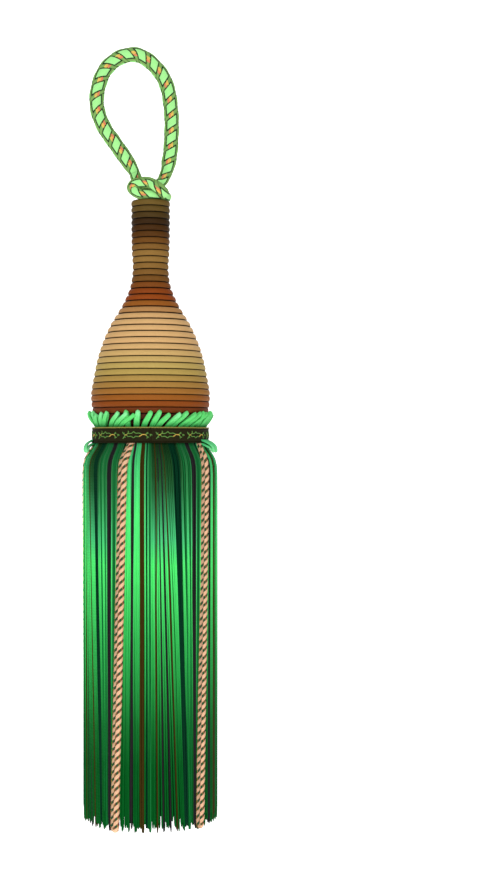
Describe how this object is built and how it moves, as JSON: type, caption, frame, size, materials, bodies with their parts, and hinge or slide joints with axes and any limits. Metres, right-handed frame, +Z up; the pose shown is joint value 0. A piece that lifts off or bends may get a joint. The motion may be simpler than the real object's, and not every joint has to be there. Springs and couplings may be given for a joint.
{
  "type": "tassel",
  "caption": "Hanging tassel with a gimp-wound wooden head, knotted suspension cord loop, ruffled neck under a woven band, and a full skirt of cut yarn with folded cords in it.",
  "frame": {"origin": "the hanging point: inside the suspension loop at its upper bend, straight above the tassel's axis", "axes": "+Z up along the tassel's axis, the front faces -Y, +X to the right seen from the front"},
  "size_m": [0.0422, 0.0422, 0.2457],
  "materials": {
    "turned_wood": "oiled",
    "button_wood": "oiled",
    "gimp": "lustrous wound thread",
    "cord_silk": "soft sheen",
    "ruffle_yarn": "soft sheen",
    "band_braid": "matt weave",
    "skirt_yarn": "lustrous yarn",
    "folded_cord": "soft sheen"
  },
  "bodies": {
    "root": {"wooden_head": "turned_wood", "gimp_wrap": "gimp", "button": "button_wood", "suspension_loop": "cord_silk", "top_knot": "cord_silk", "cord_shank": "cord_silk", "bottom_knot": "cord_silk", "ruffle": "ruffle_yarn", "neck_band": "band_braid", "skirt": "skirt_yarn", "skirt_cord_1": "folded_cord", "skirt_cord_2": "folded_cord", "skirt_cord_3": "folded_cord", "skirt_cord_4": "folded_cord", "skirt_cord_5": "folded_cord"}
  },
  "joints": []
}
